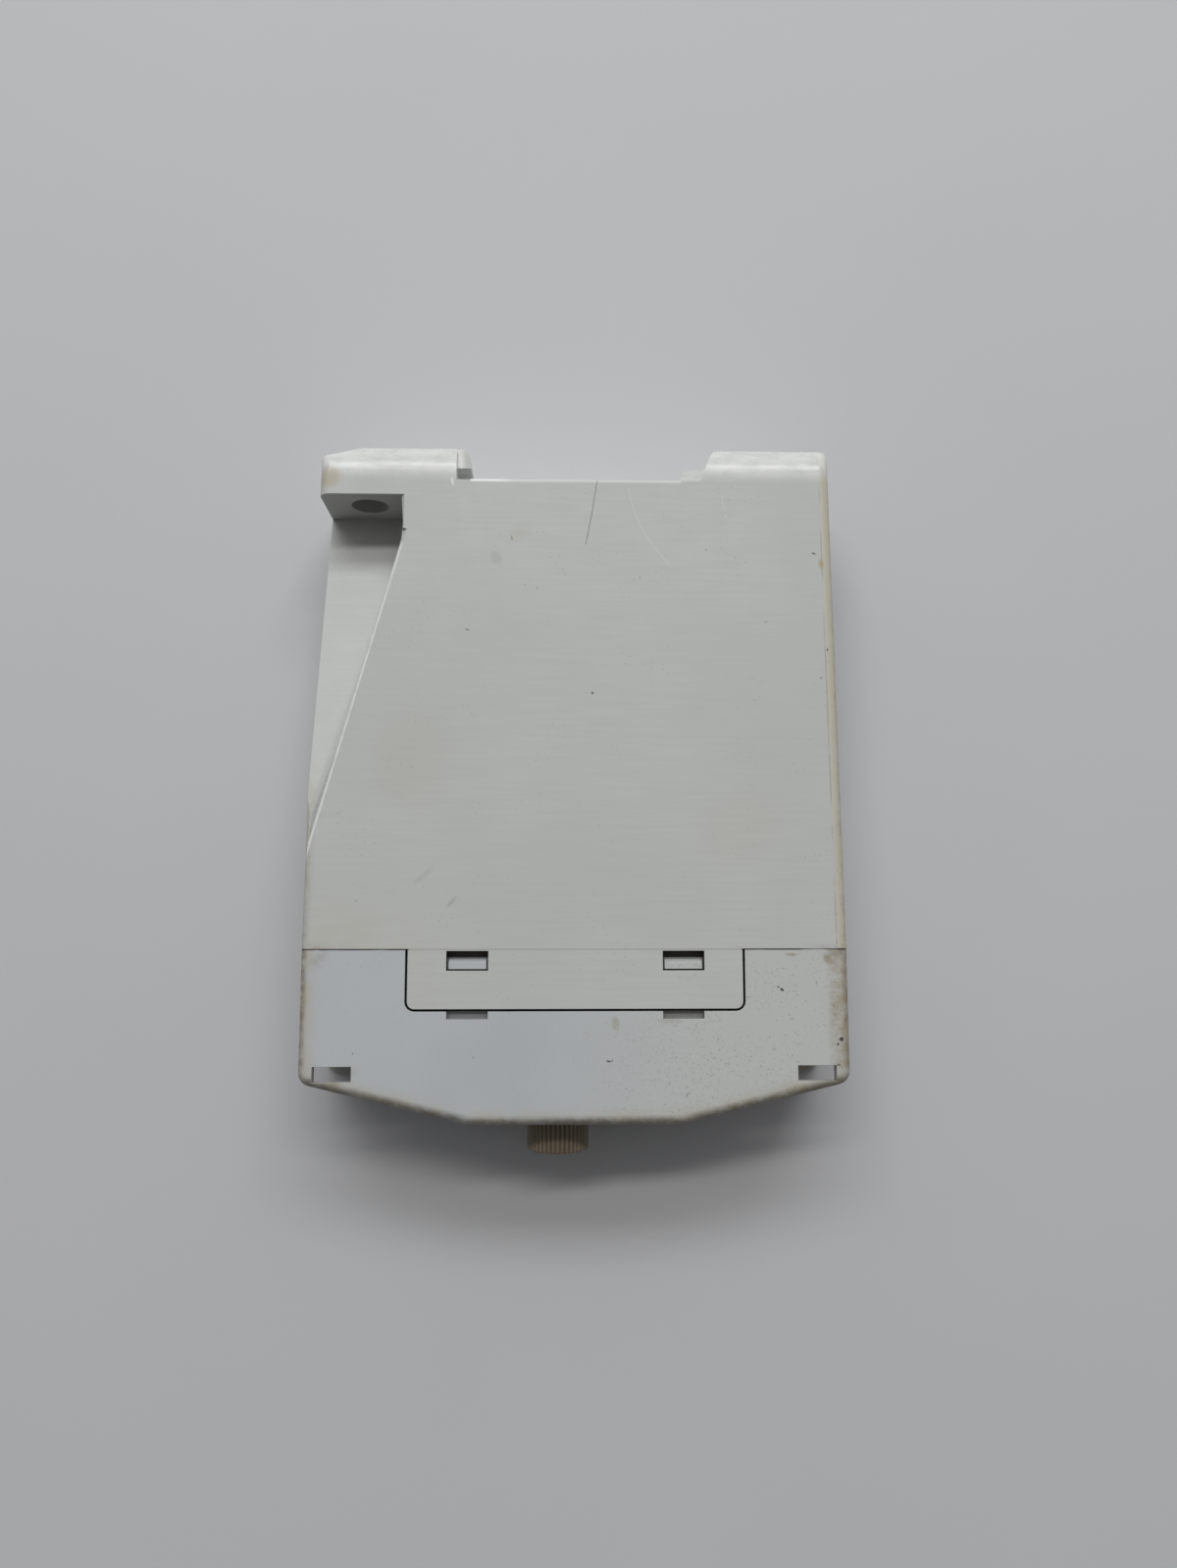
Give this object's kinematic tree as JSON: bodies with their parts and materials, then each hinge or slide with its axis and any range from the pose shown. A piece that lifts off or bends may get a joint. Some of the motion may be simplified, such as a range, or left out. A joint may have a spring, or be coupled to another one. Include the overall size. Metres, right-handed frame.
{
  "type": "rail-mounted door control module",
  "caption": "Narrow rail-mounted control module with clip-on front cover, knurled setting knob, sprung rail latch, screw lugs and screw terminals for a motorised door.",
  "frame": {"origin": "middle of the side face that the module lies on, centred on its overall length and depth", "axes": "+X along the rail's width from the fixed hook (upper end) to the sprung latch (lower end), +Y from the front towards the rail, +Z across the module's width, from the side face it lies on to the other"},
  "size_m": [0.0788, 0.1064, 0.0225],
  "materials": {
    "case_plastic": "light grey, satin, fine moulded texture",
    "cover_plastic": "paler cool grey, matte, with brown grime along its edges",
    "dial_plate": "white printed ring with a plain dial",
    "green_lens": "clear tinted, polished",
    "amber_lens": "clear tinted, polished",
    "green_lamp": "diffused",
    "amber_lamp": "diffused",
    "circuit_board": "green solder mask",
    "black_plastic": "moulded, dull",
    "relay_case": "dark blue, dull",
    "tinned_metal": "tinned",
    "core_steel": "laminated, oiled",
    "bobbin_plastic": "natural nylon",
    "copper_winding": "enamelled copper wire under tape",
    "capacitor_sleeve": "shrunk sleeve",
    "blue_coating": "dipped",
    "fuse_case": "brown moulding",
    "black_epoxy": "moulded epoxy",
    "crystal_can": "drawn can",
    "resistor_coating": "dipped, beige",
    "ochre_coating": "dipped, ochre",
    "brass": "bare, drawn",
    "spring_steel": "drawn wire",
    "knob_plastic": "beige, moulded, slightly soiled",
    "shaft_plastic": "white moulding",
    "plated_steel": "zinc plated",
    "clamp_steel": "yellow passivated zinc"
  },
  "bodies": {
    "housing": {"housing_shell": "case_plastic", "front_cover": "cover_plastic", "scale_plate": "dial_plate", "led_lens_power": "green_lens", "led_lens_relay": "amber_lens", "led_power": "green_lamp", "led_relay": "amber_lamp", "front_board": "circuit_board", "main_board": "circuit_board", "board_header": "black_plastic", "output_relay": "relay_case", "relay_pins": "tinned_metal", "transformer_core": "core_steel", "transformer_bobbin": "bobbin_plastic", "transformer_winding": "copper_winding", "supply_capacitor": "capacitor_sleeve", "filter_capacitor": "capacitor_sleeve", "varistor": "blue_coating", "fuse": "fuse_case", "bridge_rectifier": "black_epoxy", "controller_chip": "black_epoxy", "voltage_regulator": "black_epoxy", "crystal": "crystal_can", "resistors": "resistor_coating", "ceramic_capacitors": "ochre_coating", "potentiometer_body": "black_plastic", "upper_terminal_block": "black_plastic", "lower_terminal_block": "black_plastic", "upper_contact_bars": "brass", "lower_contact_bars": "brass", "latch_spring": "spring_steel"},
    "knob": {"setting_knob": "knob_plastic", "potentiometer_shaft": "shaft_plastic"},
    "latch": {"rail_latch": "case_plastic"},
    "screw_1": {"terminal_screw_1": "plated_steel"},
    "clamp_1": {"terminal_clamp_1": "clamp_steel"},
    "screw_2": {"terminal_screw_2": "plated_steel"},
    "clamp_2": {"terminal_clamp_2": "clamp_steel"},
    "screw_3": {"terminal_screw_3": "plated_steel"},
    "clamp_3": {"terminal_clamp_3": "clamp_steel"},
    "screw_4": {"terminal_screw_4": "plated_steel"},
    "clamp_4": {"terminal_clamp_4": "clamp_steel"},
    "screw_5": {"terminal_screw_5": "plated_steel"},
    "clamp_5": {"terminal_clamp_5": "clamp_steel"},
    "screw_6": {"terminal_screw_6": "plated_steel"},
    "clamp_6": {"terminal_clamp_6": "clamp_steel"}
  },
  "joints": [
    {"name": "setting_knob_turn", "type": "hinge", "parent": "housing", "child": "knob", "pos_m": [-0.0025, -0.05, 0.01125], "axis": [0, -1, 0], "range_deg": [-140, 140]},
    {"name": "rail_latch_slide", "type": "slide", "parent": "housing", "child": "latch", "axis": [1, 0, 0], "range_m": [0, 0.0025], "stiffness_N_per_m": 1200, "springref_m": -0.003, "deforming": ["latch_spring"]},
    {"name": "terminal_screw_1_turn", "type": "hinge", "parent": "housing", "child": "screw_1", "pos_m": [-0.0346, -0.035, 0.00505], "axis": [0, 1, 0], "range_deg": [0, 2376]},
    {"name": "terminal_clamp_1_slide", "type": "slide", "parent": "housing", "child": "clamp_1", "axis": [0, -1, 0], "range_m": [0, 0.0033]},
    {"name": "terminal_screw_2_turn", "type": "hinge", "parent": "housing", "child": "screw_2", "pos_m": [-0.0346, -0.035, 0.01125], "axis": [0, 1, 0], "range_deg": [0, 2376]},
    {"name": "terminal_clamp_2_slide", "type": "slide", "parent": "housing", "child": "clamp_2", "axis": [0, -1, 0], "range_m": [0, 0.0033]},
    {"name": "terminal_screw_3_turn", "type": "hinge", "parent": "housing", "child": "screw_3", "pos_m": [-0.0346, -0.035, 0.01745], "axis": [0, 1, 0], "range_deg": [0, 2376]},
    {"name": "terminal_clamp_3_slide", "type": "slide", "parent": "housing", "child": "clamp_3", "axis": [0, -1, 0], "range_m": [0, 0.0033]},
    {"name": "terminal_screw_4_turn", "type": "hinge", "parent": "housing", "child": "screw_4", "pos_m": [0.0346, -0.035, 0.00505], "axis": [0, 1, 0], "range_deg": [0, 2376]},
    {"name": "terminal_clamp_4_slide", "type": "slide", "parent": "housing", "child": "clamp_4", "axis": [0, -1, 0], "range_m": [0, 0.0033]},
    {"name": "terminal_screw_5_turn", "type": "hinge", "parent": "housing", "child": "screw_5", "pos_m": [0.0346, -0.035, 0.01125], "axis": [0, 1, 0], "range_deg": [0, 2376]},
    {"name": "terminal_clamp_5_slide", "type": "slide", "parent": "housing", "child": "clamp_5", "axis": [0, -1, 0], "range_m": [0, 0.0033]},
    {"name": "terminal_screw_6_turn", "type": "hinge", "parent": "housing", "child": "screw_6", "pos_m": [0.0346, -0.035, 0.01745], "axis": [0, 1, 0], "range_deg": [0, 2376]},
    {"name": "terminal_clamp_6_slide", "type": "slide", "parent": "housing", "child": "clamp_6", "axis": [0, -1, 0], "range_m": [0, 0.0033]}
  ],
  "couplings": [
    {"joint": "terminal_screw_1_turn", "follows": "terminal_clamp_1_slide", "rad_per_m": 12566},
    {"joint": "terminal_screw_2_turn", "follows": "terminal_clamp_2_slide", "rad_per_m": 12566},
    {"joint": "terminal_screw_3_turn", "follows": "terminal_clamp_3_slide", "rad_per_m": 12566},
    {"joint": "terminal_screw_4_turn", "follows": "terminal_clamp_4_slide", "rad_per_m": 12566},
    {"joint": "terminal_screw_5_turn", "follows": "terminal_clamp_5_slide", "rad_per_m": 12566},
    {"joint": "terminal_screw_6_turn", "follows": "terminal_clamp_6_slide", "rad_per_m": 12566}
  ]
}
